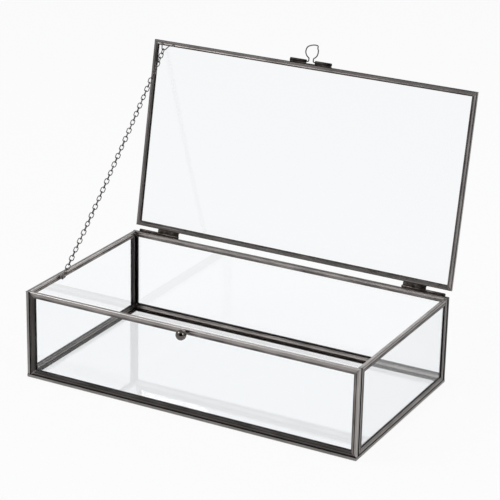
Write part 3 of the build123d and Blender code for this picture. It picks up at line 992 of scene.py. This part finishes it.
# The lowest pivot is in the eye, where the model has no joint.
joint_places = {joint["name"]: Vector(joint["pos_m"]) for joint in frame["joints"]}
chain_pivots = [Vector((0, eye_y, eye_z))]
chain_pivots += [joint_places["chain_bend_%02d" % number] for number in range(2, 11)]
run_lengths = [(two - one).length for one, two in zip(chain_pivots, chain_pivots[1:])]
chain_length = sum(run_lengths)
covered = 0.0
for number, run_length in enumerate(run_lengths):
    low, high = chain_pivots[number], chain_pivots[number + 1]
    slope = atan2(high.z - low.z, high.y - low.y)
    links = []
    for pair in range(max(1, round(run_length / pair_length))):
        for quarter, distance in ((0, pair * pair_length + link_reach / 2),
                                  (1, pair * pair_length + 1.5 * link_reach - crossing)):
            share = (covered + distance) / chain_length
            centre = Vector((
                eye_x + (bail_x - eye_x) * share,
                low.y + distance * cos(slope),
                low.z + distance * sin(slope),
            ))
            turned = chain_turn * min(1.0, share / turn_growth, (1 - share) / turn_growth)
            if pair == 0 and quarter == 0:
                # The first link of a run stays straight, to have room as the chain folds there.
                turned = 0.0
            twist = quarter * pi / 2 + turned + radians(random.uniform(-link_stray, link_stray))
            lean_back = Matrix.Rotation(slope - pi / 2, 4, "X")
            place = Matrix.Translation(centre) @ lean_back @ Matrix.Rotation(twist, 4, "Z")
            links.append(copy_piece(oval_link, "link", place))
    run = join_pieces(links[0], links[1:])
    run_code = "%02d" % (number + 1)
    run.name = "oval_links_" + run_code
    finish_piece(run, dark_wire, "chain", "run_" + run_code, "chain_links_" + run_code, smooth=60)
    covered += run_length
discard(oval_link)


# Bail: a bent wire under the free rail of the lid, its two feet held in drops of solder. The top
# link hangs in its bottom bend.

bail_wire = 0.9 * mm
bail_tilt = radians(13)
bail_foot_y = lid_front + 2.9 * mm
bail_foot_z = lid_under - bail_wire / 2
bail_flat = Matrix.Translation((bail_x, bail_foot_y, bail_foot_z)) @ Matrix((
    (1, 0, 0),
    (0, cos(bail_tilt), sin(bail_tilt)),
    (0, -sin(bail_tilt), cos(bail_tilt)),
)).to_4x4()
bail_bends = [(-2.6, 0), (-2.1, 1.9), (-1.55, 4.5), (-0.95, 5.0), (0.95, 5.0), (1.75, 4.55),
              (4.5, 1.35), (5.3, 0.75), (6.4, 0.4), (8.4, 0)]
bail_points = [swing_open @ bail_flat @ Vector((x * mm, y * mm, 0)) for x, y in bail_bends]
bail = bent_wire("bent_wire_bail", bail_points, bail_wire, smooth_order=3)
finish_piece(bail, dark_wire, "chain", "lid", "chain_bail", smooth=60)

drops = []
for number, (foot, _) in enumerate((bail_bends[0], bail_bends[-1])):
    bpy.ops.mesh.primitive_uv_sphere_add(segments=24, ring_count=12, radius=1)
    drop = start_piece("drop")
    drop.data.transform(Matrix.Diagonal((1.35 * mm, 1.2 * mm, 1.15 * mm, 1)))
    roughen(drop, 600, 0.18 * mm, number + 40)
    drop.data.transform(swing_open @ Matrix.Translation((
        bail_x + foot * mm, bail_foot_y, lid_under + 0.05 * mm)))
    drops.append(drop)
bail_drops = join_pieces(drops[0], drops[1:])
bail_drops.name = "bail_solder_drops"
finish_piece(bail_drops, solder_skin, "solder", "lid", "chain_bail_solder", smooth=60)


# Eye: a ring of the same wire on a short shank, soldered to the inner face of the left top rail.
# The lowest link hangs in it.

eye_wire = 0.9 * mm
eye_radius = link_wire / 2 + 0.15 * mm + eye_wire / 2
rail_face = left_face + came_thickness
bpy.ops.mesh.primitive_torus_add(
    major_radius=eye_radius, minor_radius=eye_wire / 2, major_segments=32, minor_segments=12,
    location=(eye_x, eye_y, eye_z), rotation=(0, pi / 2, 0))
eye_ring = start_piece("eye_ring")
eye_shank = bent_wire("eye_shank", [
    Vector((rail_face, eye_y - eye_radius, eye_z)),
    Vector((eye_x, eye_y - eye_radius, eye_z)),
], link_wire)
bpy.ops.mesh.primitive_uv_sphere_add(segments=24, ring_count=12, radius=1)
eye_drop = start_piece("eye_drop")
eye_drop.data.transform(Matrix.Diagonal((0.55 * mm, 1.35 * mm, 1.25 * mm, 1)))
roughen(eye_drop, 600, 0.15 * mm, 77)
eye_drop.data.transform(Matrix.Translation((rail_face, eye_y - eye_radius, eye_z)))
eye = join_pieces(eye_ring, [eye_shank, eye_drop])
eye.name = "wire_eye"
finish_piece(eye, dark_wire, "chain", "base", "chain_eye", smooth=60)
